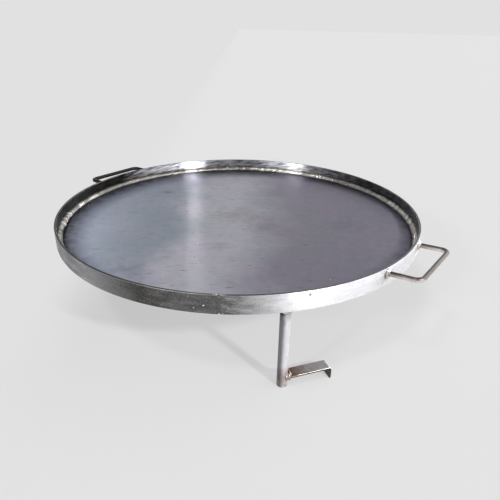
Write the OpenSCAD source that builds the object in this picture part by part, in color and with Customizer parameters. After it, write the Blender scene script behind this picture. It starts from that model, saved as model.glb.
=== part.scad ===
// Round griddle plate for cooking over a camp fire.
// A flat steel disc lies inside a rim rolled from flat bar. Two bent rod handles are welded to
// the rim. Three round-bar legs, each with a bent flat-bar foot, are welded under the disc.
// Origin: on the ground below the middle of the disc. +X runs through the right handle, +Z is up.

/* [Plate and rim] */
// Diameter over the rim band
rim_d = 680; // [560:5:800]
// Height of the flat bar that makes the rim band
rim_h = 30; // [24:1:60]
// Thickness of the flat bar that makes the rim band
rim_t = 4; // [3:0.5:8]
// Thickness of the cooking plate
plate_t = 5; // [3:0.5:8]
// Gap round the plate and its weld that lets them sit inside the band
plate_fit = 0.2; // [0.1:0.1:1]
// Direction of the band's butt joint, seen from above
seam_angle = -56; // [-65:1:-52]
// Opening between the two ends of the band, filled with weld
seam_gap = 3; // [2:0.5:6]
// How far the weld of the butt joint stands proud of the band
seam_proud = 0.8; // [0.4:0.1:1.5]

/* [Inner weld] */
// Height and width of the fillet weld between the plate and the band
fillet_leg = 8; // [5:0.5:12]
// Length of one dab of the fillet weld
dab_pitch = 18; // [14:1:40]
// Share of the fillet that is missing in the notch between two dabs
dab_notch = 0.3; // [0:0.05:0.5]

/* [Handles] */
// Diameter of the handle rod
handle_rod = 8; // [6:0.5:12]
// Distance between the axes of a handle's two arms
handle_w = 128; // [100:1:170]
// Distance from the rim to the axis of the grip
handle_reach = 44; // [34:1:80]
// Bend radius of the handle's corners, at the axis of the rod
handle_bend = 12; // [8:1:20]
// Depth of the handle's axis below the top edge of the rim
handle_drop = 10; // [10:0.5:14]
// Radius of the weld bead at the end of an arm
handle_bead = 5; // [3:0.5:6]
// Upward tilt of the right handle, from level
right_tilt = 4; // [-4:0.5:8]
// Upward tilt of the left handle, from level
left_tilt = -1; // [-4:0.5:8]

/* [Legs] */
// Diameter of the leg bar
leg_d = 16; // [12:1:25]
// Length of a leg, from the ground to the plate
leg_len = 138; // [80:1:250]
// Gap between a leg and the line of the band's inner face
leg_inset = 2; // [1:0.5:20]
// Direction of the front leg, seen from above
leg_angle = -40; // [-50:1:-30]
// Chamfer at the lower end of a leg
leg_chamfer = 1; // [0.5:0.5:3]
// Radius of the weld bead at the top of a leg
leg_bead = 5; // [3:0.5:5]

/* [Feet] */
// Width of the flat bar of a foot
foot_w = 20; // [18:1:40]
// Thickness of the flat bar of a foot
foot_t = 3; // [2:0.5:6]
// Distance from the leg's axis to the outer face of the turned-down lip
foot_reach = 78; // [50:1:120]
// Height of the top of the foot above the ground
foot_up = 20; // [15:1:60]
// Inner radius of the bend above the lip
foot_bend = 2; // [1:0.5:6]
// Depth to which the end of the foot is scooped out to fit round the leg
foot_scoop = 2; // [1:0.5:4]
// Radius of the weld bead between foot and leg
foot_bead = 6.5; // [4:0.5:8]

/* [Hidden] */
$fn = 96;
// Facets of the wide circles of the rim
rim_fn = 720;

// Length by which cutting solids run past the faces that they cut
past = 5;

// Radii and levels of the plate and rim
rim_r = rim_d / 2;
band_ir = rim_r - rim_t;
plate_r = band_ir - plate_fit;
band_z = leg_len;
plate_top = band_z + plate_t;
rim_top = band_z + rim_h;

// The cap of the seam weld is a strip of a cylinder that covers both edges of the gap
seam_cap_r = seam_gap + 2;

// Dabs of the inner weld, each drawn with a few cross-sections
dab_count = round(2 * PI * plate_r / dab_pitch);
dab_steps = 4;
fillet_steps = dab_count * dab_steps;
// A convex bead: its crown lies past the middle of the straight line from wall to toe
fillet_crown = 0.62;

// The handle's rod: where its arms meet the round rim, how far out from there the grip runs, and
// how far in an arm reaches before it is cut to fit
handle_z = rim_top - handle_drop;
arm_y = handle_w / 2;
arm_root_x = sqrt(pow(rim_r, 2) - pow(arm_y, 2));
grip_out = rim_r + handle_reach - arm_root_x;
arm_in = arm_root_x - sqrt(pow(rim_r, 2) - pow(arm_y + handle_rod / 2, 2)) + past;

// The legs stand just inside the band, a third of a turn apart
leg_r = leg_d / 2;
leg_pos = band_ir - leg_inset - leg_r;
leg_step = 120;

// A foot is a chord of the circle of legs, so both its ends lie on that circle
foot_turn = asin(foot_reach / 2 / leg_pos);
foot_start = leg_r - foot_scoop;
foot_bend_outer = foot_bend + foot_t;
foot_bead_sweep = 150;

plate_colour = "#8f8f99";
band_colour = "#77777a";
weld_colour = "#b5b1ab";
rod_colour = "#5d5a58";
leg_colour = "#86868a";
foot_colour = "#7b7069";

// Everything inside the rim's outer face, to cut what is fitted against that face
module rim_disc() {
  translate([0, 0, band_z - past]) cylinder(r = rim_r, h = rim_h + 2 * past, $fn = rim_fn);
}

module band_ring() {
  translate([0, 0, band_z]) difference() {
    cylinder(r = rim_r, h = rim_h, $fn = rim_fn);
    translate([0, 0, -past]) cylinder(r = band_ir, h = rim_h + 2 * past, $fn = rim_fn);
  }
}

module seam_slot() {
  rotate([0, 0, seam_angle])
    translate([band_ir - past, -seam_gap / 2, band_z - past])
      cube([rim_t + 2 * past, seam_gap, rim_h + 2 * past]);
}

// Ring of weld round a bar that stands along +Z: half a disc, turned round the bar
module bead_ring(bar_r, bead_r, sweep = 360) {
  rotate_extrude(angle = sweep)
    intersection() {
      translate([bar_r, 0]) circle(r = bead_r);
      translate([bar_r, -bead_r]) square([bead_r, 2 * bead_r]);
    }
}

// Puts a leg's own parts in place: +X points away from the middle of the plate
module at_leg(index) {
  rotate([0, 0, leg_angle + index * leg_step]) translate([leg_pos, 0, 0]) children();
}

// Turns +X from the leg's axis to run along the foot
module along_foot(index) {
  at_leg(index) rotate([0, 0, 90 + foot_turn]) children();
}

module cooking_plate() {
  color(plate_colour) translate([0, 0, band_z])
    cylinder(r = plate_r, h = plate_t, $fn = rim_fn);
}

module rim_band() {
  color(band_colour) difference() {
    band_ring();
    seam_slot();
  }
}

// The weld fills the gap between the band's ends and is capped on the outside
module rim_seam_weld() {
  color(weld_colour) {
    intersection() {
      band_ring();
      seam_slot();
    }
    difference() {
      rotate([0, 0, seam_angle])
        translate([rim_r + seam_proud - seam_cap_r, 0, band_z])
          cylinder(r = seam_cap_r, h = rim_h);
      rim_disc();
    }
  }
}

// Size of the fillet at one cross-section: full in the middle of a dab, least in the notch
function fillet_size(step) =
  fillet_leg * (1 - dab_notch * abs(cos(180 * (step % dab_steps) / dab_steps)));

// One cross-section of the fillet: root, top edge on the wall, crown and toe on the plate
function fillet_section(size) = [
  [plate_r, plate_top],
  [plate_r, plate_top + size],
  [plate_r - fillet_crown * size, plate_top + fillet_crown * size],
  [plate_r - size, plate_top]
];

// The fillet weld that holds the plate in the band, laid as a ring of overlapping dabs
module inner_fillet_weld() {
  corners = len(fillet_section(1));
  points = [
    for (step = [0 : fillet_steps - 1])
      let (turn = 360 * step / fillet_steps)
        for (p = fillet_section(fillet_size(step)))
          [p[0] * cos(turn), p[0] * sin(turn), p[1]]
  ];
  faces = [
    for (step = [0 : fillet_steps - 1])
      let (here = corners * step, there = corners * ((step + 1) % fillet_steps))
        for (k = [0 : corners - 1])
          let (next = (k + 1) % corners)
            for (face = [
              [here + k, here + next, there + next],
              [here + k, there + next, there + k]
            ])
              face
  ];
  color(weld_colour) polyhedron(points = points, faces = faces);
}

// Puts a handle's own parts in place, turned up from level about the line where its arms meet the rim
module tilted(tilt) {
  translate([arm_root_x, 0, handle_z]) rotate([0, -tilt, 0]) children();
}

// One arm of a handle, cut to fit the round face of the rim, with its bend and half of the grip
module rod_half(tilt) {
  difference() {
    tilted(tilt) translate([grip_out - handle_bend, arm_y, 0]) rotate([0, -90, 0])
      cylinder(d = handle_rod, h = grip_out - handle_bend + arm_in);
    rim_disc();
  }
  tilted(tilt) translate([grip_out - handle_bend, arm_y - handle_bend, 0])
    rotate_extrude(angle = 90) translate([handle_bend, 0]) circle(d = handle_rod);
  tilted(tilt) translate([grip_out, 0, 0]) rotate([-90, 0, 0])
    cylinder(d = handle_rod, h = arm_y - handle_bend);
}

// A rod bent into a square loop
module rod_handle(tilt) {
  color(rod_colour) {
    rod_half(tilt);
    mirror([0, 1, 0]) rod_half(tilt);
  }
}

// The bead round the end of one arm, seated on the rim
module arm_weld(side, tilt) {
  color(weld_colour) difference() {
    tilted(tilt) translate([0, side * arm_y, 0]) rotate([0, 90, 0])
      bead_ring(handle_rod / 2, handle_bead);
    rim_disc();
  }
}

module handle_right() { rod_handle(right_tilt); }
module handle_left() { rotate([0, 0, 180]) rod_handle(left_tilt); }
module handle_weld_right_front() { arm_weld(-1, right_tilt); }
module handle_weld_right_rear() { arm_weld(1, right_tilt); }
module handle_weld_left_front() { rotate([0, 0, 180]) arm_weld(1, left_tilt); }
module handle_weld_left_rear() { rotate([0, 0, 180]) arm_weld(-1, left_tilt); }

// A length of round bar, chamfered where it stands on the ground
module leg(index) {
  color(leg_colour) at_leg(index)
    rotate_extrude()
      polygon([
        [0, 0], [leg_r - leg_chamfer, 0], [leg_r, leg_chamfer], [leg_r, leg_len], [0, leg_len]
      ]);
}

// The bead between the top of a leg and the underside of the plate
module leg_weld(index) {
  color(weld_colour) at_leg(index) difference() {
    translate([0, 0, leg_len]) bead_ring(leg_r, leg_bead);
    translate([0, 0, leg_len]) cylinder(r = leg_r + leg_bead + past, h = leg_bead + past);
  }
}

// Flat bar with a turned-down lip, still whole where the leg will cut it
module foot_blank() {
  translate([foot_start, -foot_w / 2, foot_up - foot_t])
    cube([foot_reach - foot_bend_outer - foot_start, foot_w, foot_t]);
  translate([foot_reach - foot_bend_outer, foot_w / 2, foot_up - foot_bend_outer])
    rotate([90, 0, 0]) rotate_extrude(angle = 90)
      translate([foot_bend, 0]) square([foot_t, foot_w]);
  translate([foot_reach - foot_t, -foot_w / 2, 0])
    cube([foot_t, foot_w, foot_up - foot_bend_outer]);
}

// The foot, scooped at its inner end to fit the round of the leg
module foot(index) {
  color(foot_colour) along_foot(index) difference() {
    foot_blank();
    translate([0, 0, foot_up - foot_t - past]) cylinder(r = leg_r, h = foot_t + 2 * past);
  }
}

// The bead that wraps the inner end of the foot and ties it to the leg
module foot_weld(index) {
  color(weld_colour) along_foot(index) difference() {
    translate([0, 0, foot_up - foot_t / 2]) rotate([0, 0, -foot_bead_sweep / 2])
      bead_ring(leg_r, foot_bead, foot_bead_sweep);
    foot_blank();
  }
}

module leg_front() { leg(0); }
module leg_rear() { leg(1); }
module leg_left() { leg(2); }
module leg_weld_front() { leg_weld(0); }
module leg_weld_rear() { leg_weld(1); }
module leg_weld_left() { leg_weld(2); }
module foot_front() { foot(0); }
module foot_rear() { foot(1); }
module foot_left() { foot(2); }
module foot_weld_front() { foot_weld(0); }
module foot_weld_rear() { foot_weld(1); }
module foot_weld_left() { foot_weld(2); }

cooking_plate();
rim_band();
rim_seam_weld();
inner_fillet_weld();
handle_right();
handle_left();
handle_weld_right_front();
handle_weld_right_rear();
handle_weld_left_front();
handle_weld_left_rear();
leg_front();
leg_rear();
leg_left();
leg_weld_front();
leg_weld_rear();
leg_weld_left();
foot_front();
foot_rear();
foot_left();
foot_weld_front();
foot_weld_rear();
foot_weld_left();
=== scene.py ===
import bisect
import math
import random

import bmesh
import bpy
from mathutils import Matrix, Vector, noise


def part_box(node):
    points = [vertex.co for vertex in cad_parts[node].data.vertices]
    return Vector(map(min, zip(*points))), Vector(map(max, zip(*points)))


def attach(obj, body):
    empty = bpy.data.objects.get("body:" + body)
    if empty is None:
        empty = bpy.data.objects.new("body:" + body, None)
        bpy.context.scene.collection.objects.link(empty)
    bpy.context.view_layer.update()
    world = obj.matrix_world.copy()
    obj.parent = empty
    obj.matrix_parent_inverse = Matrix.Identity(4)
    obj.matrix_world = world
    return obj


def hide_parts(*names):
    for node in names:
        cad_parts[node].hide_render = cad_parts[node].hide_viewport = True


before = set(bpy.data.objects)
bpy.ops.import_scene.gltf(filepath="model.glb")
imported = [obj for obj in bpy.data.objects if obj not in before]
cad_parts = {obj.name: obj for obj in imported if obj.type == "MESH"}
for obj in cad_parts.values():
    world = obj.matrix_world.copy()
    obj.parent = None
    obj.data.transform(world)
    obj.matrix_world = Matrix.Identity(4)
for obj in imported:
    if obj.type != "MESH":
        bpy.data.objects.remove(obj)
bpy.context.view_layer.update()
bpy.context.scene.view_settings.view_transform = "Standard"


# Cooking plate: a disc of 5 mm hot-rolled mild steel, laid inside the rim and welded to it all round.
# The weld's heat has drawn it a hair out of flat, and the top has been scoured and wiped with oil.
mm = 0.001
up = Vector((0, 0, 1))
plate_low, plate_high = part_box("cooking_plate")
plate_r = plate_high.x
plate_top = plate_high.z
plate_edge = 0.6 * mm
plate_rings = 30
plate_sides = 256
plate_hub = 2 * mm
plate_warp = 0.22 * mm
warp_width = 150 * mm
warp_slice = 0.5
sharp_edge = math.radians(50)


def outward(turn):
    """The level direction away from the griddle's upright axis at a turn about it."""
    return Vector((math.cos(turn), math.sin(turn), 0))


def loft(rings, loop=False, tags=None):
    """Skin a row of rings of points into a closed shape, with UVs in metres along and round the row."""
    shape = bmesh.new()
    crest = shape.verts.layers.float.new("crest")
    skin = shape.loops.layers.uv.new("skin")
    rows = [[shape.verts.new(point) for point in ring] for ring in rings]
    middles = [sum(ring, Vector()) / len(ring) for ring in rings]
    along = [0.0]
    for here, there in zip(middles, middles[1:] + middles[:1]):
        along.append(along[-1] + (there - here).length)
    about = [0.0]
    for here, there in zip(rings[0], rings[0][1:] + rings[0][:1]):
        about.append(about[-1] + (there - here).length)
    for row, values in zip(rows, tags or []):
        for vert, value in zip(row, values):
            vert[crest] = value
    for i in range(len(rows) - (0 if loop else 1)):
        here = rows[i]
        there = rows[(i + 1) % len(rows)]
        for j in range(len(here)):
            k = (j + 1) % len(here)
            face = shape.faces.new((here[j], here[k], there[k], there[j]))
            marks = ((i, j), (i, j + 1), (i + 1, j + 1), (i + 1, j))
            for corner, (a, b) in zip(face.loops, marks):
                corner[skin].uv = (along[a], about[b])
    if not loop:
        shape.faces.new(rows[0])
        shape.faces.new(rows[-1])
    return shape


def place(name, shape, material, slot, *nodes):
    """Turn a bmesh into a piece of the griddle that stands for the given nodes, if any."""
    bmesh.ops.recalc_face_normals(shape, faces=shape.faces)
    mesh = bpy.data.meshes.new(name)
    shape.to_mesh(mesh)
    shape.free()
    mesh.shade_smooth()
    mesh.set_sharp_from_angle(angle=sharp_edge)
    mesh.materials.append(material)
    made = bpy.data.objects.new(name, mesh)
    bpy.context.scene.collection.objects.link(made)
    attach(made, "root")
    if nodes:
        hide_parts(*nodes)


def plate_ring(radius, height):
    """A circle of points on the plate, lifted or lowered where the plate is out of flat."""
    ring = []
    for side in range(plate_sides):
        turn = math.tau * side / plate_sides
        x = radius * math.cos(turn)
        y = radius * math.sin(turn)
        warp = plate_warp * noise.noise((x / warp_width, y / warp_width, warp_slice))
        ring.append(Vector((x, y, height + warp)))
    return ring


def linear(code):
    """An sRGB hex colour as a linear one, with its alpha."""
    parts = [int(code[at:at + 2], 16) / 255 for at in (0, 2, 4)]
    return [c / 12.92 if c <= 0.04045 else ((c + 0.055) / 1.055) ** 2.4 for c in parts] + [1.0]


def add(owner, kind, inputs=None, stops=(), out=None, **settings):
    """Add a shader node with its settings, feed its inputs with values or other nodes' outputs, and return
    the output that is named, or else the first one in use. A Mix node takes its share at input 0, and what
    it mixes at 2 and 3 for numbers or at 6 and 7 for colours."""
    made = owner.node_tree.nodes.new("ShaderNode" + kind)
    for name, value in settings.items():
        setattr(made, name, value)
    for count, (level, code) in enumerate(stops):
        stops_now = made.color_ramp.elements
        stop = stops_now[count] if count < 2 else stops_now.new(level)
        stop.position = level
        stop.color = linear(code)
    for name, value in (inputs or {}).items():
        if isinstance(value, bpy.types.NodeSocket):
            owner.node_tree.links.new(value, made.inputs[name])
        else:
            made.inputs[name].default_value = value
    return made.outputs[out] if out else next(socket for socket in made.outputs if socket.enabled)


def metal(name, **sockets):
    """Start a metal: a material with its shader, and the shader's constant sockets."""
    made = bpy.data.materials.new(name)
    made.use_nodes = True
    shader = made.node_tree.nodes["Principled BSDF"]
    shader.inputs["Metallic"].default_value = 1.0
    for socket, value in sockets.items():
        shader.inputs[socket].default_value = value
    return made, shader


def surface(shader, colour, rough, bump, **others):
    """Link a metal's colour, roughness and bump to its shader, and any other socket by its name."""
    for socket, output in {"Base Color": colour, "Roughness": rough, "Normal": bump, **others}.items():
        shader.id_data.links.new(output, shader.inputs[socket])


def grain(owner, at, per_metre, **look):
    """A noise with its own count of grains in a metre along each axis, such as long thin streaks."""
    grain_at = add(owner, "VectorMath", {0: at, 1: per_metre}, operation="MULTIPLY")
    return add(owner, "TexNoise", {"Vector": grain_at, "Scale": 1.0, **look})


def drift(owner, value, field, reach, low=0.0, high=1.0):
    """A value that wanders by the reach either way, as a noise field goes from low to high."""
    off = add(
        owner, "MapRange",
        {"Value": field, "From Min": low, "From Max": high, "To Min": -reach, "To Max": reach})
    return add(owner, "Math", {0: value, 1: off}, operation="ADD")


def toned(owner, colour, level, stops, share=1.0):
    """A colour multiplied, in full or in part, by the tone that a ramp has at a level."""
    tone = add(owner, "ValToRGB", {0: level}, stops=stops)
    return add(owner, "Mix", {0: share, 6: colour, 7: tone}, data_type="RGBA", blend_type="MULTIPLY")


def from_axis(owner, at):
    """How far a point is from the griddle's upright axis."""
    level_at = add(owner, "VectorMath", {0: at, 1: (1, 1, 0)}, operation="MULTIPLY")
    return add(owner, "VectorMath", {0: level_at}, operation="LENGTH")


# Hot-rolled mild steel, scoured along the rolling direction and oiled: satin, from blue-grey through a
# pale middle, which is a painted sheen, to violet, with fine streaks, dashes, specks and grease spots, and
# a dark halo by the weld, partly heat tint and partly painted shade.
rolling_turn = math.radians(38)
streak_long = 90 * mm
streak_wide = 2.6 * mm
dash_long = 25 * mm
dash_wide = 3.2 * mm
dash_grey = "6E6C76"
stain_width = 210 * mm
stain_reach = 0.28
sheen_share = 0.44
sheen_lean = 0.02
sheen_front = 1.4
sheen_rear = 0.8
bloom_width = 120 * mm
mottle_width = 16 * mm
speck_gap = 52 * mm
speck_grey = "4E4C52"
# Place along and across the rolling direction and radius in mm, depth and colour of each spot.
grease_spots = (
    (-171, -225, 24, 0.35, "6C7078"),
    (-9, 10, 46, 0.35, "8F8B82"),
    (-165, 146, 14, 0.5, "5E5C64"),
    (45, -55, 26, 0.25, "716E7A"),
    (-35, -135, 20, 0.25, "716E7A"),
    (204, -36, 38, 0.2, "78747F"),
)
spot_squash = (0.7, 1, 0)
spot_ragged = 0.4
halo_narrow = 22 * mm
halo_wide = 72 * mm
halo_turn = math.radians(160)
halo_wander = 4 * mm
halo_patch = 20 * mm
weld_leg = 8 * mm
toe_r = plate_r - weld_leg
plate_steel, plate_shader = metal("hot_rolled_steel_plate_scoured", Anisotropic=1.0)
across_rolling = Vector((-math.sin(rolling_turn), math.cos(rolling_turn), 0))
plate_tangent = add(
    plate_steel, "VectorTransform", {0: across_rolling}, vector_type="VECTOR", convert_from="OBJECT",
    convert_to="WORLD")
plate_at = add(plate_steel, "TexCoord", out="Object")
plate_lie = add(
    plate_steel, "VectorRotate", {"Vector": plate_at, "Angle": -rolling_turn}, rotation_type="Z_AXIS")
streaks = grain(plate_steel, plate_lie, (1 / streak_long, 1 / streak_wide, 0), Detail=4.0, Roughness=0.6)
dash_field = grain(plate_steel, plate_lie, (1 / dash_long, 1 / dash_wide, 0), Detail=2.0)
dashes = add(plate_steel, "MapRange", {"Value": dash_field, "From Min": 0.64, "From Max": 0.76})
stains = add(
    plate_steel, "TexNoise",
    {"Vector": plate_at, "Scale": 1 / stain_width, "Detail": 5.0, "Roughness": 0.55})
plate_side = add(plate_steel, "VectorMath", {0: plate_lie, 1: (1, sheen_lean, 0)}, operation="DOT_PRODUCT")
plate_depth = add(plate_steel, "SeparateXYZ", {0: plate_lie}, out="Y")
sheen_spread = add(
    plate_steel, "MapRange",
    {"Value": plate_depth, "From Min": -plate_r, "From Max": plate_r, "To Min": sheen_front,
     "To Max": sheen_rear})
side_off = add(
    plate_steel, "MapRange",
    {"Value": plate_side, "From Min": -plate_r, "From Max": plate_r, "To Min": -sheen_share,
     "To Max": 1 - sheen_share})
side_share = add(
    plate_steel, "Math", {0: side_off, 1: sheen_spread, 2: sheen_share}, operation="MULTIPLY_ADD")
plate_tone_and_sheen_share = drift(plate_steel, side_share, stains, stain_reach)
# The pale middle of this ramp is a painted sheen; its blue-grey and violet ends are the steel's own tones.
plate_grey_and_sheen = add(
    plate_steel, "ValToRGB", {0: plate_tone_and_sheen_share},
    stops=((0.1, "B0B8C4"), (0.24, "BEC5D0"), (0.36, "ECEBF3"), (0.48, "F0EEF6"), (0.6, "D4D1DC"),
           (0.7, "BCB7C4"), (0.85, "BAB4C3")))
bloom = add(plate_steel, "TexNoise", {"Vector": plate_at, "Scale": 1 / bloom_width, "Detail": 3.0})
plate_bloomed = toned(plate_steel, plate_grey_and_sheen, bloom, ((0.4, "F4F8FA"), (0.62, "FAF7FE")))
plate_lined = toned(plate_steel, plate_bloomed, streaks, ((0.3, "C4C4C8"), (0.7, "FFFFFF")), share=0.16)
mottle = add(
    plate_steel, "TexNoise",
    {"Vector": plate_at, "Scale": 1 / mottle_width, "Detail": 6.0, "Roughness": 0.62})
plate_mottled = toned(plate_steel, plate_lined, mottle, ((0.32, "BFBFC3"), (0.62, "FFFFFF")), share=0.2)
plate_dashed = add(
    plate_steel, "Mix", {0: dashes, 6: plate_mottled, 7: linear(dash_grey)}, data_type="RGBA")
speck_off = add(plate_steel, "TexVoronoi", {"Vector": plate_at, "Scale": 1 / speck_gap}, out="Distance")
specks = add(
    plate_steel, "MapRange",
    {"Value": speck_off, "From Min": 0.015, "From Max": 0.03, "To Min": 0.7, "To Max": 0.0})
plate_spotted = add(
    plate_steel, "Mix", {0: specks, 6: plate_dashed, 7: linear(speck_grey)}, data_type="RGBA")
for spot_x, spot_y, spot_r, spot_most, spot_code in grease_spots:
    spot_at = (spot_x * mm, spot_y * mm, plate_top)
    spot_off = add(plate_steel, "VectorMath", {0: plate_lie, 1: spot_at}, operation="SUBTRACT")
    spot_flat = add(plate_steel, "VectorMath", {0: spot_off, 1: spot_squash}, operation="MULTIPLY")
    spot_gap = add(plate_steel, "VectorMath", {0: spot_flat}, operation="LENGTH")
    spot_edge = drift(plate_steel, spot_gap, mottle, spot_ragged * spot_r * mm, low=0.3, high=0.7)
    spot_share = add(
        plate_steel, "MapRange",
        {"Value": spot_edge, "From Min": 0.0, "From Max": spot_r * mm, "To Min": spot_most, "To Max": 0.0})
    plate_spotted = add(
        plate_steel, "Mix", {0: spot_share, 6: plate_spotted, 7: linear(spot_code)}, data_type="RGBA")
plate_out = from_axis(plate_steel, plate_at)
halo_field = add(plate_steel, "TexNoise", {"Vector": plate_at, "Scale": 1 / halo_patch, "Detail": 2.0})
halo_at = drift(plate_steel, plate_out, halo_field, halo_wander, low=0.3, high=0.7)
halo_side = outward(halo_turn) / plate_r
halo_lean = add(plate_steel, "VectorMath", {0: plate_at, 1: halo_side}, operation="DOT_PRODUCT")
# Painted shade: the halo is made wider and darker towards one side, where the wall shades the plate; the
# rest is heat tint.
halo_start = add(
    plate_steel, "MapRange",
    {"Value": halo_lean, "From Min": -0.4, "From Max": 0.8, "To Min": toe_r - halo_narrow,
     "To Max": toe_r - halo_wide})
halo_soft = add(plate_steel, "MapRange", {"Value": halo_at, "From Min": halo_start, "From Max": toe_r})
halo_and_shade_most = add(
    plate_steel, "MapRange",
    {"Value": halo_lean, "From Min": -0.4, "From Max": 0.3, "To Min": 0.65, "To Max": 1.0})
halo_and_shade_full = add(plate_steel, "Math", {0: halo_soft, 1: halo_and_shade_most}, operation="MULTIPLY")
halo_dirt = add(
    plate_steel, "MapRange",
    {"Value": mottle, "From Min": 0.3, "From Max": 0.7, "To Min": 0.75, "To Max": 1.2})
halo_and_shade = add(plate_steel, "Math", {0: halo_and_shade_full, 1: halo_dirt}, operation="MULTIPLY")
plate_colour = toned(
    plate_steel, plate_spotted, halo_and_shade,
    ((0.0, "FFFFFF"), (0.4, "CECDD4"), (0.75, "8A878A"), (1.0, "4E4B49")))
plate_rough = add(
    plate_steel, "MapRange",
    {"Value": streaks, "From Min": 0.3, "From Max": 0.7, "To Min": 0.27, "To Max": 0.31})
plate_bump = add(plate_steel, "Bump", {"Height": streaks, "Strength": 0.05, "Distance": 0.1 * mm})
surface(plate_shader, plate_colour, plate_rough, plate_bump, Tangent=plate_tangent)

ring_step = (plate_r - plate_edge - plate_hub) / plate_rings
ring_radii = [plate_hub + ring_step * step for step in range(plate_rings + 1)]
plate_stack = [plate_ring(radius, plate_low.z) for radius in ring_radii]
plate_stack += [plate_ring(plate_r, plate_low.z + plate_edge), plate_ring(plate_r, plate_top - plate_edge)]
plate_stack += [plate_ring(radius, plate_top) for radius in reversed(ring_radii)]
place("cooking_plate_disc", loft(plate_stack), plate_steel, "plate_steel", "cooking_plate")


# Rim band: a length of 30 x 4 mm hot-rolled flat bar, rolled into a ring on edge and closed with a butt
# weld. Its long edges are slightly rounded from the mill, and its curve wanders a little between rolls.
rim_low, rim_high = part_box("rim_band")
rim_r = rim_high.x
rim_top = rim_high.z
rim_bottom = rim_low.z
rim_t = 4 * mm
rim_middle = rim_r - rim_t / 2
rim_corner = 0.8 * mm
corner_steps = 4
rim_steps = 900
rim_wander = 0.12 * mm
wander_length = 90 * mm
seam_turn = math.radians(-56)
seam_gap = 3 * mm


def bar_section(width, height, corner):
    """The outline of a flat bar with rounded edges, as points round its middle, from low on the +X side."""
    outline = []
    for index, (side, rise) in enumerate(((1, -1), (1, 1), (-1, 1), (-1, -1))):
        for step in range(corner_steps + 1):
            turn = math.radians(90 * (index - 1 + step / corner_steps))
            x = side * (width / 2 - corner) + corner * math.cos(turn)
            y = rise * (height / 2 - corner) + corner * math.sin(turn)
            outline.append((x, y))
    return outline


# Hot-rolled flat bar, wire-brushed along its length: grainy dark mill scale on one half and bare steel on
# the other, laid out partly as painted light, bare where highlights fall and scaled where shade falls, with
# highlights drawn out up and down, coarse grinding marks inside and a top face painted dark as shade.
brush_long = 120 * mm
brush_wide = 1.1 * mm
scale_long = 34 * mm
scale_wide = 9 * mm
scale_grain = 1.7 * mm
scale_wander = 0.03
worn_depth = 1.2 * mm
heat_top = plate_top + weld_leg
heat_full = 2 * mm
heat_fade = 5 * mm
scratch_long = 26 * mm
scratch_wide = 4 * mm
scratch_turn = math.radians(-9)
scratch_depth = 8.0
chip_turn = math.radians(-35.1)
chip_drop = 6 * mm
chip_core = 1.2 * mm
chip_reach = 2.8 * mm
chip_grey = "5A5653"
soot_black = "232221"
top_shade_grey = "444242"
band_steel, band_shader = metal("hot_rolled_flat_bar_wire_brushed")
band_shader.inputs["Anisotropic Rotation"].default_value = 0.25
band_at = add(band_steel, "TexCoord", out="Object")
band_uv = add(band_steel, "UVMap", uv_map="skin")
brushing = grain(band_steel, band_uv, (1 / brush_long, 1 / brush_wide, 0), Detail=4.0, Roughness=0.65)
scale_field = grain(band_steel, band_uv, (1 / scale_long, 1 / scale_wide, 0), Detail=7.0, Roughness=0.68)
band_along = add(band_steel, "SeparateXYZ", {0: band_uv}, out="X")
band_turned = add(band_steel, "Math", {0: band_along, 1: math.tau * rim_middle}, operation="DIVIDE")
band_share = drift(band_steel, band_turned, scale_field, scale_wander)
# Where the scale lies along the ring is partly painted light: bare steel where highlights fall, scale where
# shade falls.
scale_and_shade_outside = add(
    band_steel, "ValToRGB", {0: band_share},
    stops=((0.0, "F0F0F0"), (0.014, "BCBCBC"), (0.042, "767676"), (0.1, "000000"), (0.53, "000000"),
           (0.62, "FFFFFF"), (0.76, "F0F0F0"), (0.85, "D4D4D4"), (0.9, "B6B6B6"), (0.945, "FFFFFF"),
           (1.0, "F0F0F0")))
scale_and_shade_inside = add(
    band_steel, "ValToRGB", {0: band_share},
    stops=((0.13, "000000"), (0.18, "FFFFFF"), (0.36, "F0F0F0"), (0.43, "000000"), (0.58, "000000"),
           (0.66, "FFFFFF")))
band_out = from_axis(band_steel, band_at)
inside = add(
    band_steel, "MapRange",
    {"Value": band_out, "From Min": rim_r - rim_t * 0.9, "From Max": rim_r - rim_t * 0.7, "To Min": 1.0,
     "To Max": 0.0})
scale_and_shade_side = add(band_steel, "Mix", {0: inside, 2: scale_and_shade_outside, 3: scale_and_shade_inside})
band_height = add(band_steel, "SeparateXYZ", {0: band_at}, out="Z")
worn_edge = add(
    band_steel, "MapRange",
    {"Value": band_height, "From Min": rim_top - worn_depth, "From Max": rim_top, "To Min": 1.0,
     "To Max": 0.55})
scale_and_shade_kept = add(band_steel, "Math", {0: scale_and_shade_side, 1: worn_edge}, operation="MULTIPLY")
scale_fine = add(band_steel, "TexNoise", {"Vector": band_at, "Scale": 1 / scale_grain, "Detail": 3.0})
scale_blend = add(band_steel, "Mix", {0: 0.5, 2: scale_field, 3: scale_fine})
band_clean = add(band_steel, "ValToRGB", {0: scale_blend}, stops=((0.34, "CDCED8"), (0.58, "F0F0F0")))
scale_tone = add(
    band_steel, "ValToRGB", {0: scale_blend}, stops=((0.34, "343332"), (0.5, "484745"), (0.64, "706E6D")))
scale_sooty = add(band_steel, "Mix", {0: inside, 6: scale_tone, 7: linear(soot_black)}, data_type="RGBA")
band_grey = add(band_steel, "Mix", {0: scale_and_shade_kept, 6: band_clean, 7: scale_sooty}, data_type="RGBA")
band_brushed = toned(band_steel, band_grey, brushing, ((0.3, "B4B3B4"), (0.7, "FFFFFF")), share=0.35)
heated = add(
    band_steel, "MapRange",
    {"Value": band_height, "From Min": heat_top - heat_full, "From Max": heat_top + heat_fade,
     "To Min": 1.0, "To Max": 0.0})
heated_inside = add(band_steel, "Math", {0: heated, 1: inside}, operation="MULTIPLY")
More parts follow.
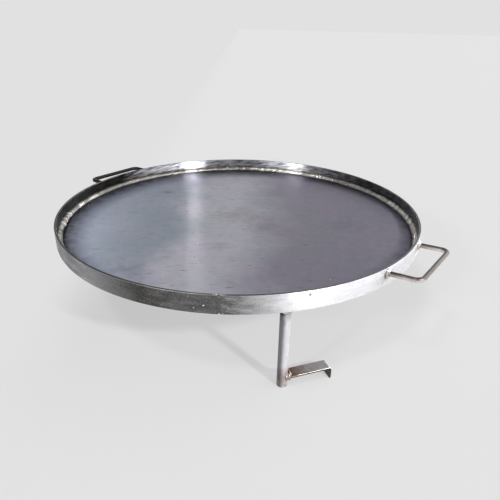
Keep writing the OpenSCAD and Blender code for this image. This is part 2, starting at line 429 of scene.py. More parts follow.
band_heated = toned(
    band_steel, band_brushed, heated_inside,
    ((0.0, "FFFFFF"), (0.4, "F2EEE8"), (0.7, "D6D0CA"), (1.0, "B4B1B2")))
scratch_lie = add(
    band_steel, "VectorRotate", {"Vector": band_uv, "Angle": scratch_turn}, rotation_type="Z_AXIS")
scratches = grain(band_steel, scratch_lie, (1 / scratch_long, 1 / scratch_wide, 0), Detail=3.0)
band_ground = toned(band_steel, band_heated, scratches, ((0.36, "8A8E97"), (0.58, "FFFFFF")), share=inside)
chip_at = outward(chip_turn) * rim_r + up * (rim_top - chip_drop)
chip_gap = add(band_steel, "VectorMath", {0: band_at, 1: chip_at}, operation="DISTANCE")
chip = add(
    band_steel, "MapRange",
    {"Value": chip_gap, "From Min": chip_core, "From Max": chip_reach, "To Min": 0.85, "To Max": 0.0})
band_chipped = add(band_steel, "Mix", {0: chip, 6: band_ground, 7: linear(chip_grey)}, data_type="RGBA")
band_faces = add(band_steel, "TexCoord", out="Normal")
band_up = add(band_steel, "SeparateXYZ", {0: band_faces}, out="Z")
# Painted shade: faces that point up are made dark grey.
band_top_shade = add(
    band_steel, "MapRange",
    {"Value": band_up, "From Min": 0.75, "From Max": 0.95, "To Min": 0.0, "To Max": 0.9})
band_colour = add(
    band_steel, "Mix", {0: band_top_shade, 6: band_chipped, 7: linear(top_shade_grey)}, data_type="RGBA")
ground_depth = add(band_steel, "MapRange", {"Value": inside, "To Min": 0.0, "To Max": scratch_depth})
ground_marks = add(band_steel, "Math", {0: scratches, 1: ground_depth}, operation="MULTIPLY")
band_marks = add(band_steel, "Math", {0: brushing, 1: ground_marks}, operation="ADD")
rolled_rough = add(
    band_steel, "MapRange",
    {"Value": scale_field, "From Min": 0.35, "From Max": 0.6, "To Min": 0.6, "To Max": 0.48})
ground_rough = add(
    band_steel, "MapRange",
    {"Value": scratches, "From Min": 0.35, "From Max": 0.65, "To Min": 0.45, "To Max": 0.3})
band_rough = add(band_steel, "Mix", {0: inside, 2: rolled_rough, 3: ground_rough})
band_bump = add(band_steel, "Bump", {"Height": band_marks, "Strength": 0.35, "Distance": 0.12 * mm})
band_drawn = add(band_steel, "MapRange", {"Value": inside, "To Min": 0.8, "To Max": 1.0})
band_tangent = add(band_steel, "Tangent", direction_type="UV_MAP", uv_map="skin")
surface(band_shader, band_colour, band_rough, band_bump, Anisotropic=band_drawn, Tangent=band_tangent)

rim_section = bar_section(rim_t, rim_top - rim_bottom, rim_corner)
rim_start = seam_turn + seam_gap / 2 / rim_middle
rim_sweep = math.tau - seam_gap / rim_middle
rim_rings = []
for step in range(rim_steps + 1):
    way = outward(rim_start + rim_sweep * step / rim_steps)
    wander = rim_wander * noise.noise(way * (rim_r / wander_length))
    middle = way * (rim_middle + wander) + up * ((rim_top + rim_bottom) / 2)
    rim_rings.append([middle + way * x + up * y for x, y in rim_section])
place("rim_band_bar", loft(rim_rings), band_steel, "band_steel", "rim_band")


# Weld of the butt joint: one upright bead of weld metal that fills the gap between the band's two ends.
# It stands a little proud on the outside and at the top edge, and was only knocked back with a wire brush.
quarter_turn = math.radians(90)
seam_proud = 0.6 * mm
seam_half = 5 * mm
seam_over = 0.4 * mm
seam_pitch = 7 * mm
seam_steps = 60
fan_steps = 10
root_sink = 0.3 * mm
# Shares of a dab's pitch, girth and gleam, which set how far one dab differs from the next.
dab_lengths = (0.55, 1.5)
dab_girth = 0.1
dab_gleams = (0.4, 1.0)
dab_bow = 0.3
dab_round = 2.5
notch_depths = (0.3, 1.0)
notch_least = 0.2
notch_swing = 1.6
end_girth = 0.35
even_run = 9
uneven_run = 2
uneven_girth = 0.12
lump_width = 2.2 * mm
lump_height = 0.08
lump_turn = 2
fillet_flat = 0.42
plain_gleam = 0.7
notch_dull = 0.7
toe_dull = 1.5


def bead(seats, size, pitch, fan, loop=False, notch=0.3, fillet=False, shine=1.0, clean=0.0):
    """Lay a row of overlapping dabs of weld, each with its own length, girth and gleam. A seat is a root
    point with the two directions that it fills, size is how far the weld reaches in each, and fan is the
    turn from the first direction to the last. Shine is its gleam, and clean the share that is even."""
    chance = random.Random(len(seats))
    gaps = [(b[0] - a[0]).length for a, b in zip(seats, seats[1:] + seats[:1])]
    whole = sum(gaps if loop else gaps[:-1])
    starts = [0.0]
    while starts[-1] < whole:
        starts.append(starts[-1] + pitch * chance.uniform(*dab_lengths))
    girths = [chance.uniform(-dab_girth, dab_girth) for start in starts]
    gleams = [chance.uniform(*dab_gleams) for start in starts]
    cuts = [chance.uniform(*notch_depths) for start in starts]
    cuts[-1] = cuts[0]
    rings = []
    tags = []
    run = 0.0
    for index, (root, first, second) in enumerate(seats):
        run += gaps[index - 1] if index else 0.0
        calm = 0.5 + 0.5 * noise.noise(root / (even_run * pitch))
        ring = [root - root_sink * (first + second)]
        tag = [0.0]
        taper = end_girth + (1 - end_girth) * min(run, whole - run) / (pitch / 2)
        ends = 1.0 if loop else min(1.0, taper)
        for step in range(fan_steps + 1):
            share = step / fan_steps
            turn = fan[0] + (fan[1] - fan[0]) * share
            bow = 1 - (2 * share - 1) ** 2
            lain = (run / whole * starts[-1] + dab_bow * pitch * bow) % starts[-1]
            dab = bisect.bisect(starts, lain) - 1
            part = (lain - starts[dab]) / (starts[dab + 1] - starts[dab])
            edge = abs(2 * part - 1) ** dab_round
            cut = edge * (cuts[dab] if part < 0.5 else cuts[dab + 1])
            swell = 1 + girths[dab] * (1 - edge) - notch * (notch_least + notch_swing * calm) * cut
            uneven = 1 + uneven_girth * noise.noise(root / (uneven_run * pitch))
            lumps = 1 + lump_height * noise.noise(root / lump_width + Vector((turn * lump_turn, 0, 0)))
            chord = 1 / (abs(math.cos(turn)) + abs(math.sin(turn)))
            form = fillet_flat * chord + (1 - fillet_flat) if fillet else 1.0
            reach = swell * uneven * lumps * form * ends
            across = first * (size[0] * math.cos(turn)) + second * (size[1] * math.sin(turn))
            ring.append(root + across * reach)
            gleam = plain_gleam + (gleams[dab] - plain_gleam) * (1 - edge)
            crown = gleam * (1 - notch_dull * cut) * bow ** toe_dull
            tag.append(shine * (clean + (1 - clean) * crown))
        rings.append(ring)
        tags.append(tag)
    return loft(rings, loop, tags)


# Weld metal, wire-brushed: bright silver on the crowns of the dabs, sooty grey with a touch of brown in the
# notches and along the toes, darker round one side, and warm brown down by the feet. Two stretches of the
# inner fillet are painted bright as highlights.
weld_grain = 1.6 * mm
side_noise_width = 45 * mm
side_noise_reach = 1.3
glint_turns = (math.radians(103), math.radians(150))
glint_core = 12 * mm
glint_reach = 36 * mm
glint_level = 0.36
tint_width = 22 * mm
tint_brown = "938478"
low_full = 30 * mm
low_end = 60 * mm
low_brown = "EDE0D8"
weld_metal, weld_shader = metal("weld_metal_wire_brushed")
weld_at = add(weld_metal, "TexCoord", out="Object")
weld_crest = add(weld_metal, "Attribute", attribute_name="crest", out="Fac")
weld_fine = add(weld_metal, "TexNoise", {"Vector": weld_at, "Scale": 1 / weld_grain, "Detail": 4.0})
weld_worn = add(weld_metal, "Math", {0: weld_crest, 1: weld_fine}, operation="MULTIPLY")
# The weld is darker round one side, with a ragged edge.
weld_lean = add(weld_metal, "VectorMath", {0: weld_at, 1: halo_side}, operation="DOT_PRODUCT")
weld_side_noise = add(weld_metal, "TexNoise", {"Vector": weld_at, "Scale": 1 / side_noise_width, "Detail": 3.0})
weld_dim_side = drift(weld_metal, weld_lean, weld_side_noise, side_noise_reach)
weld_dim_and_glint = add(
    weld_metal, "MapRange",
    {"Value": weld_dim_side, "From Min": 0.55, "From Max": 1.0, "To Min": 0.56, "To Max": 1.6})
# Painted highlights: two stretches of the inner fillet are made brighter.
for glint_turn in glint_turns:
    glint_at = outward(glint_turn) * plate_r + up * plate_top
    glint_gap = add(weld_metal, "VectorMath", {0: weld_at, 1: glint_at}, operation="DISTANCE")
    glint_share = add(
        weld_metal, "MapRange",
        {"Value": glint_gap, "From Min": glint_core, "From Max": glint_reach, "To Min": 1.0,
         "To Max": 0.0})
    weld_dim_and_glint = add(weld_metal, "Mix", {0: glint_share, 2: weld_dim_and_glint, 3: glint_level})
weld_level = add(weld_metal, "MapRange", {"Value": weld_worn, "From Min": 0.0, "From Max": weld_dim_and_glint})
weld_grey = add(
    weld_metal, "ValToRGB", {0: weld_level},
    stops=((0.0, "43413F"), (0.3, "74726E"), (0.6, "A3A19C"), (0.9, "DAD9D6")))
weld_heat = add(weld_metal, "TexNoise", {"Vector": weld_at, "Scale": 1 / tint_width, "Detail": 2.0})
weld_brown = add(weld_metal, "MapRange", {"Value": weld_heat, "From Min": 0.6, "From Max": 0.8})
weld_browned = add(
    weld_metal, "Mix", {0: weld_brown, 6: weld_grey, 7: linear(tint_brown)}, data_type="RGBA")
weld_height = add(weld_metal, "SeparateXYZ", {0: weld_at}, out="Z")
weld_low = add(
    weld_metal, "MapRange",
    {"Value": weld_height, "From Min": low_full, "From Max": low_end, "To Min": 1.0, "To Max": 0.0})
weld_colour = add(
    weld_metal, "Mix", {0: weld_low, 6: weld_browned, 7: linear(low_brown)}, data_type="RGBA",
    blend_type="MULTIPLY")
weld_rough = add(weld_metal, "MapRange", {"Value": weld_level, "To Min": 0.4, "To Max": 0.27})
weld_bump = add(weld_metal, "Bump", {"Height": weld_fine, "Strength": 0.3, "Distance": 0.15 * mm})
surface(weld_shader, weld_colour, weld_rough, weld_bump)

seam_out = outward(seam_turn)
seam_side = outward(seam_turn + quarter_turn)
seam_seats = []
for step in range(seam_steps + 1):
    height = rim_bottom + (rim_top + seam_over - rim_bottom) * step / seam_steps
    seam_seats.append((seam_out * (rim_r - rim_t) + up * height, seam_out, seam_side))
seam_shape = bead(
    seam_seats, (rim_t + seam_proud, seam_half), seam_pitch, (-quarter_turn, quarter_turn), notch=0.03,
    shine=0.28, clean=0.6)
place("rim_seam_bead", seam_shape, weld_metal, "weld_metal", "rim_seam_weld")


# Inner fillet weld: the ring of weld that ties the plate to the band and makes the pan tight. It was laid
# by hand in short overlapping dabs of about 18 mm, so its edge is scalloped and its crown is lumpy.
dab_pitch = 18 * mm
fillet_steps = 1500
fillet_lap = math.radians(3)
fillet_fan = (-fillet_lap, quarter_turn + fillet_lap)
fillet_seats = []
for step in range(fillet_steps):
    way = outward(math.tau * step / fillet_steps)
    fillet_seats.append((way * plate_r + up * plate_top, -way, up))
fillet_shape = bead(
    fillet_seats, (weld_leg, weld_leg), dab_pitch, fillet_fan, loop=True, fillet=True, notch=0.14,
    clean=0.4)
place("inner_fillet_bead", fillet_shape, weld_metal, "weld_metal", "inner_fillet_weld")


# Spatter: beads of weld metal that flew off and stuck, most of them on the plate near the fillet and on the
# rim beside its seam, with a burr left over the top of that seam. They were never chipped away.
# Each kind of drop has a count and a range of radii in mm.
plate_drops = 70
plate_drop_sizes = (0.3, 0.75)
plate_drop_gap = 3 * mm
plate_drop_reach = 40 * mm
# Turn in degrees and height in mm of the large drops beside the seam.
large_drops = ((-59.5, 150.8), (-53.9, 148.2), (-55.2, 140.0), (-61.8, 146.2))
large_drop_sizes = (0.7, 1.2)
rim_drops = 9
rim_drop_sizes = (0.3, 0.6)
rim_drop_turns = (-0.16, 0.1)
burr_drops = 9
burr_drop_sizes = (0.9, 1.4)
burr_half = math.radians(1.3)
burr_depths = (0.25, 0.8)
burr_sink = 0.5 * mm
drop_gleam = 0.85
spatter = random.Random(7)
drops = []
for count in range(plate_drops):
    turn = spatter.uniform(0, math.tau)
    out = toe_r - plate_drop_gap - plate_drop_reach * spatter.random() ** 2
    drops.append((out, turn, plate_top, spatter.uniform(*plate_drop_sizes) * mm))
for degrees, height in large_drops:
    drops.append((rim_r, math.radians(degrees), height * mm, spatter.uniform(*large_drop_sizes) * mm))
for count in range(rim_drops):
    turn = seam_turn + spatter.uniform(*rim_drop_turns)
    drops.append((rim_r, turn, spatter.uniform(rim_bottom, rim_top), spatter.uniform(*rim_drop_sizes) * mm))
for count in range(burr_drops):
    turn = seam_turn + burr_half * (2 * count / (burr_drops - 1) - 1)
    out = rim_r - rim_t * spatter.uniform(*burr_depths)
    drops.append((out, turn, rim_top - burr_sink, spatter.uniform(*burr_drop_sizes) * mm))
spatter_shape = bmesh.new()
spatter_crest = spatter_shape.verts.layers.float.new("crest")
for out, turn, height, radius in drops:
    spot = Matrix.Translation(outward(turn) * out + up * height)
    drop = bmesh.ops.create_icosphere(spatter_shape, subdivisions=2, radius=radius, matrix=spot)
    for vert in drop["verts"]:
        vert[spatter_crest] = drop_gleam
place("weld_spatter", spatter_shape, weld_metal, "weld_metal")


# Handles: two lengths of 8 mm drawn round rod, each bent cold into a square loop with round corners and
# cut to sit against the rim. They keep the shape of the construction and only get their finish here.
handle_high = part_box("handle_right")[1]
rod_r = 4 * mm
handle_drop = 10 * mm
arm_y = handle_high.y - rod_r
handle_z = rim_top - handle_drop
arm_root = math.sqrt(rim_r ** 2 - arm_y ** 2)
handle_tilts = {"right": math.radians(4), "left": math.radians(-1)}


def finish(node, material):
    """Give its finish to a piece that keeps the shape of the construction."""
    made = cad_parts[node]
    made.data.materials.clear()
    made.data.materials.append(material)


# Drawn mild steel rod, left raw: a pale grey skin with dark smudges, a fine grain and straw heat colours by
# the welds. Its top is painted brown as shade, and the whole left handle is painted near black as shade.
smudge_width = 22 * mm
rod_grain = 1.2 * mm
rod_top_shade_brown = "4A4440"
left_rod_shade_grey = "2C2A29"
rod_heat_start = 3 * mm
rod_heat_reach = 26 * mm
rod_steel, rod_shader = metal("drawn_steel_rod_raw")
rod_at = add(rod_steel, "TexCoord", out="Object")
rod_smudge = add(
    rod_steel, "TexNoise", {"Vector": rod_at, "Scale": 1 / smudge_width, "Detail": 5.0, "Roughness": 0.6})
rod_fine = add(rod_steel, "TexNoise", {"Vector": rod_at, "Scale": 1 / rod_grain, "Detail": 2.0})
rod_grey = add(
    rod_steel, "ValToRGB", {0: rod_smudge}, stops=((0.35, "CFC8C6"), (0.5, "E4DCDA"), (0.66, "F4EEEC")))
# Painted shade: the top of the rod is made brown-dark.
rod_faces = add(rod_steel, "NewGeometry", out="Normal")
rod_up = add(rod_steel, "SeparateXYZ", {0: rod_faces}, out="Z")
rod_top_shade = add(
    rod_steel, "MapRange",
    {"Value": rod_up, "From Min": 0.05, "From Max": 0.45, "To Min": 0.0, "To Max": 0.9})
rod_top_shaded = add(rod_steel, "Mix", {0: rod_top_shade, 6: rod_grey, 7: linear(rod_top_shade_brown)}, data_type="RGBA")
rod_mirrored = add(rod_steel, "VectorMath", {0: rod_at}, operation="ABSOLUTE")
rod_gap = add(
    rod_steel, "VectorMath", {0: rod_mirrored, 1: (arm_root, arm_y, handle_z)}, operation="DISTANCE")
rod_heat = add(
    rod_steel, "MapRange", {"Value": rod_gap, "From Min": rod_heat_start, "From Max": rod_heat_reach})
rod_heated = toned(
    rod_steel, rod_top_shaded, rod_heat,
    ((0.0, "CAC5C0"), (0.3, "D0C6BC"), (0.6, "E6DFD7"), (1.0, "FFFFFF")))
# Painted shade: the whole left handle is made near black.
rod_side = add(rod_steel, "SeparateXYZ", {0: rod_at}, out="X")
rod_left_shade = add(rod_steel, "Math", {0: rod_side, 1: 0.0}, operation="LESS_THAN")
rod_colour = add(rod_steel, "Mix", {0: rod_left_shade, 6: rod_heated, 7: linear(left_rod_shade_grey)}, data_type="RGBA")
rod_rough = add(
    rod_steel, "MapRange",
    {"Value": rod_smudge, "From Min": 0.35, "From Max": 0.65, "To Min": 0.48, "To Max": 0.38})
rod_bump = add(rod_steel, "Bump", {"Height": rod_fine, "Strength": 0.2, "Distance": 0.1 * mm})
surface(rod_shader, rod_colour, rod_rough, rod_bump)
for side in ("right", "left"):
    finish("handle_" + side, rod_steel)


# Handle welds: a ring of weld round the end of each of the four arms, where the cut rod meets the curved
# outside of the rim. Each is a few fat dabs run together.
arm_bead = 5 * mm
arm_pitch = 8 * mm
arm_steps = 72
for side, across in (("right", 1), ("left", -1)):
    for end, rear in (("front", -1), ("rear", 1)):
        arm_way = Vector((across * math.cos(handle_tilts[side]), 0, math.sin(handle_tilts[side])))
        arm_up = Vector((-across * math.sin(handle_tilts[side]), 0, math.cos(handle_tilts[side])))
        arm_seats = []
        for step in range(arm_steps):
            turn = math.tau * step / arm_steps
            off_rod = Vector((0, math.cos(turn), 0)) + arm_up * math.sin(turn)
            on_rod = Vector((across * arm_root, rear * arm_y, handle_z)) + off_rod * rod_r
            to_rim = (math.sqrt(rim_r ** 2 - on_rod.y ** 2) - abs(on_rod.x)) / abs(arm_way.x)
            arm_seats.append((on_rod + arm_way * to_rim, arm_way, off_rod))
        arm_name = "handle_weld_" + side + "_" + end
        arm_shape = bead(
            arm_seats, (arm_bead, arm_bead), arm_pitch, fillet_fan, loop=True, fillet=True, clean=0.7)
        place(arm_name + "_bead", arm_shape, weld_metal, "weld_metal", arm_name)

# The heat of those welds has left a straw-coloured patch on the rim round the end of each arm.
straw_core = 6 * mm
straw_reach = 11 * mm
straw_tint = "F6F2E4"
straw_off = add(band_steel, "VectorMath", {0: band_at}, operation="ABSOLUTE")
straw_gap = add(
    band_steel, "VectorMath", {0: straw_off, 1: (arm_root, arm_y, handle_z - rod_r)}, operation="DISTANCE")
straw = add(
    band_steel, "MapRange",
    {"Value": straw_gap, "From Min": straw_core, "From Max": straw_reach, "To Min": 1.0, "To Max": 0.0})
band_straw = add(
    band_steel, "Mix", {0: straw, 6: band_colour, 7: linear(straw_tint)}, data_type="RGBA",
    blend_type="MULTIPLY")
band_steel.node_tree.links.new(band_straw, band_shader.inputs["Base Color"])


# Legs: three lengths of 16 mm drawn round bar, sawn to length, with a small chamfer on the ground and a
# weld at the top. They keep the shape of the construction and only get their finish here.
foot_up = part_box("foot_front")[1].z
foot_t = 3 * mm
leg_low, leg_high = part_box("leg_front")
leg_r = (leg_high.x - leg_low.x) / 2
leg_top = leg_high.z

# Drawn bar, dulled by use: a pale grey with faint lines along its length, with pinkish heat colours by the
# welds and rust spots near the ground. One side is painted dark as shade, near black under the plate.
line_long = 60 * mm
line_wide = 1.4 * mm
shade_side = outward(math.radians(-152))
shade_ragged = 0.2
leg_shade_grey = "838285"
leg_heat_start = 3 * mm
leg_heat_reach = 22 * mm
top_shade_full = 7 * mm
top_shade_end = 13 * mm
leg_top_shade_grey = "262423"
rust_grain = 4 * mm
rust_full = 14 * mm
rust_end = 38 * mm
rust_brown = "A48F83"
leg_steel, leg_shader = metal("drawn_round_bar_dulled")
leg_at = add(leg_steel, "TexCoord", out="Object")
leg_box = add(leg_steel, "TexCoord", out="Generated")
leg_off = add(leg_steel, "VectorMath", {0: leg_box, 1: (0.5, 0.5, 0.5)}, operation="SUBTRACT")
# Painted shade: one side of each leg is made darker, with a ragged edge.
leg_shade_lean = add(leg_steel, "VectorMath", {0: leg_off, 1: shade_side}, operation="DOT_PRODUCT")
leg_lines = grain(leg_steel, leg_at, (1 / line_wide, 1 / line_wide, 1 / line_long), Detail=3.0)
leg_smudge = add(leg_steel, "TexNoise", {"Vector": leg_at, "Scale": 1 / smudge_width, "Detail": 5.0})
leg_grey = add(leg_steel, "ValToRGB", {0: leg_smudge}, stops=((0.35, "DFDFE3"), (0.65, "F3F3F7")))
leg_lined = toned(leg_steel, leg_grey, leg_lines, ((0.35, "C9C9CB"), (0.65, "FFFFFF")), share=0.35)
leg_shade_edge = drift(leg_steel, leg_shade_lean, leg_smudge, shade_ragged)
leg_shaded = add(leg_steel, "MapRange", {"Value": leg_shade_edge, "From Min": -0.12, "From Max": 0.16})
leg_shaded_skin = add(leg_steel, "Mix", {0: leg_shaded, 6: leg_lined, 7: linear(leg_shade_grey)}, data_type="RGBA")
leg_height = add(leg_steel, "SeparateXYZ", {0: leg_at}, out="Z")
from_top = add(leg_steel, "Math", {0: leg_top, 1: leg_height}, operation="SUBTRACT")
from_foot = add(leg_steel, "Math", {0: leg_height, 1: foot_up - foot_t / 2}, operation="SUBTRACT")
foot_gap = add(leg_steel, "Math", {0: from_foot}, operation="ABSOLUTE")
leg_gap = add(leg_steel, "Math", {0: from_top, 1: foot_gap}, operation="MINIMUM")
leg_heat = add(
    leg_steel, "MapRange", {"Value": leg_gap, "From Min": leg_heat_start, "From Max": leg_heat_reach})
leg_heated = toned(
    leg_steel, leg_shaded_skin, leg_heat, ((0.0, "CFC8C4"), (0.3, "DED6D3"), (0.6, "EEE8E6"), (1.0, "FFFFFF")))
# Painted shade: the top of each leg is made near black on its darker side, just below the plate.
top_shade_height = add(
    leg_steel, "MapRange",
    {"Value": from_top, "From Min": top_shade_full, "From Max": top_shade_end, "To Min": 1.0, "To Max": 0.0})
leg_top_shade = add(leg_steel, "Math", {0: top_shade_height, 1: leg_shaded}, operation="MULTIPLY")
leg_top_shaded = add(leg_steel, "Mix", {0: leg_top_shade, 6: leg_heated, 7: linear(leg_top_shade_grey)}, data_type="RGBA")
rust_field = add(leg_steel, "TexNoise", {"Vector": leg_at, "Scale": 1 / rust_grain, "Detail": 4.0})
rust_spots = add(leg_steel, "MapRange", {"Value": rust_field, "From Min": 0.48, "From Max": 0.62})
rust_low = add(
    leg_steel, "MapRange",
    {"Value": leg_height, "From Min": rust_full, "From Max": rust_end, "To Min": 0.8, "To Max": 0.0})
rust = add(leg_steel, "Math", {0: rust_spots, 1: rust_low}, operation="MULTIPLY")
leg_colour = add(leg_steel, "Mix", {0: rust, 6: leg_top_shaded, 7: linear(rust_brown)}, data_type="RGBA")
leg_rough = add(
    leg_steel, "MapRange",
    {"Value": leg_smudge, "From Min": 0.35, "From Max": 0.65, "To Min": 0.62, "To Max": 0.5})
leg_bump = add(leg_steel, "Bump", {"Height": leg_lines, "Strength": 0.15, "Distance": 0.1 * mm})
surface(leg_shader, leg_colour, leg_rough, leg_bump)
leg_middles = {}
for where in ("front", "rear", "left"):
    finish("leg_" + where, leg_steel)
    low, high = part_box("leg_" + where)
    leg_middles[where] = Vector(((low.x + high.x) / 2, (low.y + high.y) / 2, 0))


# Leg welds: a ring of weld round the top of each leg, against the underside of the plate and the band.
# They are laid from below in a few dabs and left as they are.
leg_bead = 5 * mm
leg_bead_down = 7.5 * mm
leg_pitch = 9 * mm
leg_steps = 120
for where, leg_middle in leg_middles.items():
    leg_seats = []
    for step in range(leg_steps):
        way = outward(math.tau * step / leg_steps)
        leg_seats.append((leg_middle + way * leg_r + up * leg_top, -up, way))
    leg_shape = bead(
        leg_seats, (leg_bead_down, leg_bead), leg_pitch, fillet_fan, loop=True, fillet=True, clean=0.85)
    place("leg_weld_" + where + "_bead", leg_shape, weld_metal, "weld_metal", "leg_weld_" + where)


# Feet: three lengths of 20 x 3 mm flat bar, scooped to fit the leg at one end and bent down into a lip at
# the other, so each leg stands on its own end and on the lip. They run along the circle of the legs.
foot_w = 20 * mm
foot_reach = 78 * mm
foot_bend = 2 * mm
foot_scoop = 2 * mm
foot_corner = 0.6 * mm
foot_station = 3 * mm
bend_steps = 8

# Hot-rolled flat bar, heated by its weld: brown oxide by the leg that fades through straw to bare grey
# towards the lip, with patches of scale and an underside painted dark, partly as scale and partly as shade.
foot_patch = 9 * mm
foot_heat_start = 4 * mm
foot_heat_reach = 60 * mm
foot_heat_wander = 12 * mm
foot_pale_edge = 1.5 * mm
foot_dark_edge = 2.5 * mm
foot_under_shade_grey = "4E4A47"
foot_steel, foot_shader = metal("hot_rolled_flat_bar_heat_tinted")
foot_at = add(foot_steel, "TexCoord", out="Object")
foot_uv = add(foot_steel, "UVMap", uv_map="skin")
foot_scale = add(
    foot_steel, "TexNoise", {"Vector": foot_at, "Scale": 1 / foot_patch, "Detail": 6.0, "Roughness": 0.65})
foot_grey = add(foot_steel, "ValToRGB", {0: foot_scale}, stops=((0.35, "D2CFCB"), (0.6, "F6F4F0")))
foot_along = add(foot_steel, "SeparateXYZ", {0: foot_uv}, out="X")
foot_from = drift(foot_steel, foot_along, foot_scale, foot_heat_wander)
foot_heat = add(
    foot_steel, "MapRange", {"Value": foot_from, "From Min": foot_heat_start, "From Max": foot_heat_reach})
foot_tinted = toned(
    foot_steel, foot_grey, foot_heat, ((0.0, "957A68"), (0.25, "C8B2A2"), (0.5, "E8E3DA"), (1.0, "F6F6F1")))
foot_about = add(foot_steel, "SeparateXYZ", {0: foot_uv}, out="Y")
# Painted shade, partly scale: the underside and the inner face of the lip are made dark.
foot_under_shade = add(
    foot_steel, "MapRange",
    {"Value": foot_about, "From Min": foot_w + foot_pale_edge, "From Max": foot_w + foot_dark_edge})
foot_colour = add(
    foot_steel, "Mix", {0: foot_under_shade, 6: foot_tinted, 7: linear(foot_under_shade_grey)}, data_type="RGBA")
foot_rough = add(
    foot_steel, "MapRange",
    {"Value": foot_scale, "From Min": 0.35, "From Max": 0.65, "To Min": 0.48, "To Max": 0.34})
foot_bump = add(foot_steel, "Bump", {"Height": foot_scale, "Strength": 0.1, "Distance": 0.2 * mm})
surface(foot_shader, foot_colour, foot_rough, foot_bump)

bend_centre = Vector((foot_reach - foot_bend - foot_t, 0, foot_up - foot_bend - foot_t))
bend_r = foot_bend + foot_t / 2
foot_start = leg_r - foot_scoop
foot_run = bend_centre.x - foot_start
foot_stations = round(foot_run / foot_station)
foot_path = []
for step in range(foot_stations):
    foot_path.append((foot_start + foot_run * step / foot_stations, bend_centre.z + bend_r, quarter_turn))
for step in range(bend_steps + 1):
    turn = quarter_turn * (1 - step / bend_steps)
    bend_x = bend_centre.x + bend_r * math.cos(turn)
    bend_z = bend_centre.z + bend_r * math.sin(turn)
    foot_path.append((bend_x, bend_z, turn))
lip_stations = round(bend_centre.z / foot_station)
for step in range(1, lip_stations + 1):
    foot_path.append((bend_centre.x + bend_r, bend_centre.z * (1 - step / lip_stations), 0.0))
foot_section = bar_section(foot_t, foot_w, foot_corner)
foot_turns = {}
for where, leg_middle in leg_middles.items():
    foot_turn = math.asin(foot_reach / 2 / leg_middle.length)
    foot_turns[where] = math.atan2(leg_middle.y, leg_middle.x) + quarter_turn + foot_turn
    at_foot = Matrix.Translation(leg_middle) @ Matrix.Rotation(foot_turns[where], 4, "Z")
    foot_rings = []
    for x, z, turn in foot_path:
        face = Vector((math.cos(turn), 0, math.sin(turn)))
        foot_rings.append([at_foot @ (Vector((x, y, z)) + face * out) for out, y in foot_section])
    place("foot_" + where + "_bar", loft(foot_rings), foot_steel, "foot_steel", "foot_" + where)


# Foot welds: a fat bead that wraps the side of each leg and swallows the end of its foot. It is the
# heaviest weld on the griddle, since the foot takes the load.
foot_bead = 6.5 * mm
foot_pitch = 7 * mm
foot_bead_sweep = math.radians(150)
foot_bead_steps = 60
for where, leg_middle in leg_middles.items():
    foot_seats = []
    for step in range(foot_bead_steps + 1):
        way = outward(foot_turns[where] + foot_bead_sweep * (step / foot_bead_steps - 0.5))
        foot_seats.append((leg_middle + way * leg_r + up * (foot_up - foot_t / 2), way, up))
    foot_shape = bead(
        foot_seats, (foot_bead, foot_bead), foot_pitch, (-quarter_turn, quarter_turn), notch=0.25,
        clean=0.5)
    place("foot_weld_" + where + "_bead", foot_shape, weld_metal, "weld_metal", "foot_weld_" + where)


# Studio: a wide pale floor of nearly the backdrop's grey, a key light with a denser core from the right of
# the camera, a wide soft window further right, two weak lights on the left, and behind the griddle a faint
# strip and a pale wall in a dim room.
floor_size = 60.0
floor_drop = 0.1 * mm
floor_grey = "BDBDBD"
backdrop_grey = "E1E1E1"
floor_share = 0.62
shadow_end = 0.24
clear_start = 0.4

# Matt paper, pale and even: it takes the griddle's shadow, and is seen as the backdrop's own grey further
# out on the left, where no shadow falls. From below it is clear.
floor_paper = bpy.data.materials.new("pale_paper_floor")
floor_paper.use_nodes = True
paper_shader = floor_paper.node_tree.nodes["Principled BSDF"]
paper_shader.inputs["Base Color"].default_value = linear(floor_grey)
paper_shader.inputs["Roughness"].default_value = 0.9
paper_shader.inputs["Specular IOR Level"].default_value = 0.1
paper_seen = add(floor_paper, "LightPath", out="Is Camera Ray")
paper_rays = paper_seen.node.outputs
for ray in ("Is Glossy Ray", "Is Transmission Ray"):
    paper_seen = add(floor_paper, "Math", {0: paper_seen, 1: paper_rays[ray]}, operation="MAXIMUM")
paper_at = add(floor_paper, "TexCoord", out="Object")
paper_out = add(
    floor_paper, "VectorMath", {0: paper_at, 1: -outward(rolling_turn)}, operation="DOT_PRODUCT")
paper_level = add(
    floor_paper, "MapRange",
    {"Value": paper_out, "From Min": shadow_end, "From Max": clear_start, "To Min": floor_share,
     "To Max": 1.0},
    interpolation_type="SMOOTHSTEP")
paper_share = add(floor_paper, "Math", {0: paper_seen, 1: paper_level}, operation="MULTIPLY")
paper_pale = add(floor_paper, "Emission", {"Color": linear(backdrop_grey), "Strength": 1.0})
paper_mix = add(floor_paper, "MixShader", {0: paper_share, 1: paper_shader.outputs[0], 2: paper_pale})
paper_under = add(floor_paper, "NewGeometry", out="Backfacing")
paper_clear = add(floor_paper, "BsdfTransparent")
paper_above = add(floor_paper, "MixShader", {0: paper_under, 1: paper_mix, 2: paper_clear})
paper_output = floor_paper.node_tree.nodes["Material Output"]
floor_paper.node_tree.links.new(paper_above, paper_output.inputs["Surface"])
floor_shape = bmesh.new()
bmesh.ops.create_grid(floor_shape, x_segments=1, y_segments=1, size=floor_size / 2)
floor_mesh = bpy.data.meshes.new("floor")
floor_shape.to_mesh(floor_mesh)
floor_shape.free()
floor_mesh.materials.append(floor_paper)
floor = bpy.data.objects.new("floor", floor_mesh)
floor.location.z = -floor_drop
bpy.context.scene.collection.objects.link(floor)

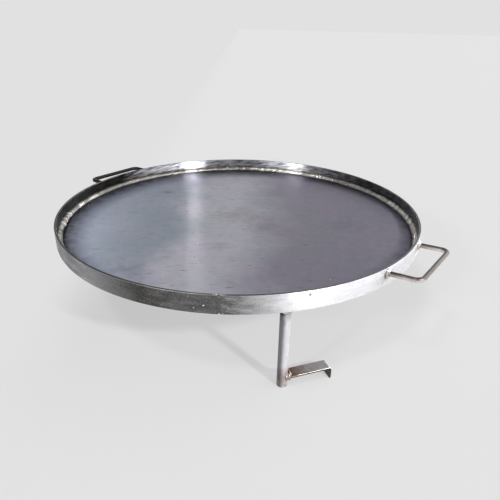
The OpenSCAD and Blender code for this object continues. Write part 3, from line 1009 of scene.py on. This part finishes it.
# The camera stands where the photo's did, by a fit to the rim, handles and leg. Film and lens are in mm.
view_turn = math.radians(-51.56)
view_out = 0.8713
view_up = 0.4919
view_heading = math.radians(126.97)
view_tilt = math.radians(25.81)
view_roll = math.radians(0.98)
film_width = 36.0
lens_length = 34.0
camera_data = bpy.data.cameras.new("camera")
camera_data.sensor_width = film_width
camera_data.sensor_fit = "HORIZONTAL"
camera_data.lens = lens_length
camera = bpy.data.objects.new("camera", camera_data)
ahead = outward(view_heading) * math.cos(view_tilt) - up * math.sin(view_tilt)
level_right = outward(view_heading - quarter_turn)
level_up = level_right.cross(ahead)
camera_right = level_right * math.cos(view_roll) + level_up * math.sin(view_roll)
camera_up = level_up * math.cos(view_roll) - level_right * math.sin(view_roll)
camera_axes = Matrix((camera_right, camera_up, -ahead)).transposed().to_4x4()
camera_place = outward(view_turn) * view_out + up * view_up
camera.matrix_world = Matrix.Translation(camera_place) @ camera_axes
bpy.context.scene.collection.objects.link(camera)
bpy.context.scene.camera = camera

# Name, turn, rise and width in degrees, and strength of each lamp.
lamps = (
    ("key", -12, 34, 6, 1.3),
    ("key_core", -12, 34, 4.5, 1.7),
    ("window", 46, 6, 104, 4.2),
    ("fill", -96, 26, 7, 1.0),
    ("overhead", -97, 60, 9, 1.0),
    ("strip", 133.8, 9.5, 0.8, 0.015),
)
for lamp_name, lamp_turn, lamp_rise, lamp_width, lamp_strength in lamps:
    lamp_data = bpy.data.lights.new(lamp_name, "SUN")
    lamp_data.energy = lamp_strength
    lamp_data.angle = math.radians(lamp_width)
    lamp = bpy.data.objects.new(lamp_name, lamp_data)
    lamp.rotation_euler = (0, math.radians(90 - lamp_rise), math.radians(lamp_turn))
    bpy.context.scene.collection.objects.link(lamp)

wall_turn = math.radians(146)
room = bpy.data.worlds.new("studio_room")
room.use_nodes = True
bpy.context.scene.world = room
room_light = room.node_tree.nodes["Background"]
room_way = add(room, "TexCoord", out="Generated")
room_back = add(room, "VectorMath", {0: room_way, 1: outward(wall_turn)}, operation="DOT_PRODUCT")
room_height = add(room, "SeparateXYZ", {0: room_way}, out="Z")
room_wall = add(
    room, "MapRange",
    {"Value": room_back, "From Min": 0.35, "From Max": 0.86, "To Min": 0.36, "To Max": 1.0},
    interpolation_type="SMOOTHSTEP")
room_fall = add(
    room, "MapRange",
    {"Value": room_height, "From Min": 0.34, "From Max": 0.8, "To Min": 1.0, "To Max": 0.66})
room_far = add(room, "Math", {0: room_wall, 1: room_fall}, operation="MULTIPLY")
room_low = add(
    room, "MapRange",
    {"Value": room_height, "From Min": 0.2, "From Max": 0.36, "To Min": 1.0, "To Max": 0.0},
    interpolation_type="SMOOTHSTEP")
room_level = add(room, "Math", {0: room_far, 1: room_low}, operation="MAXIMUM")
room_colour = add(
    room, "Mix", {0: room_level, 6: linear("000000"), 7: linear(backdrop_grey)}, data_type="RGBA")
room.node_tree.links.new(room_colour, room_light.inputs["Color"])
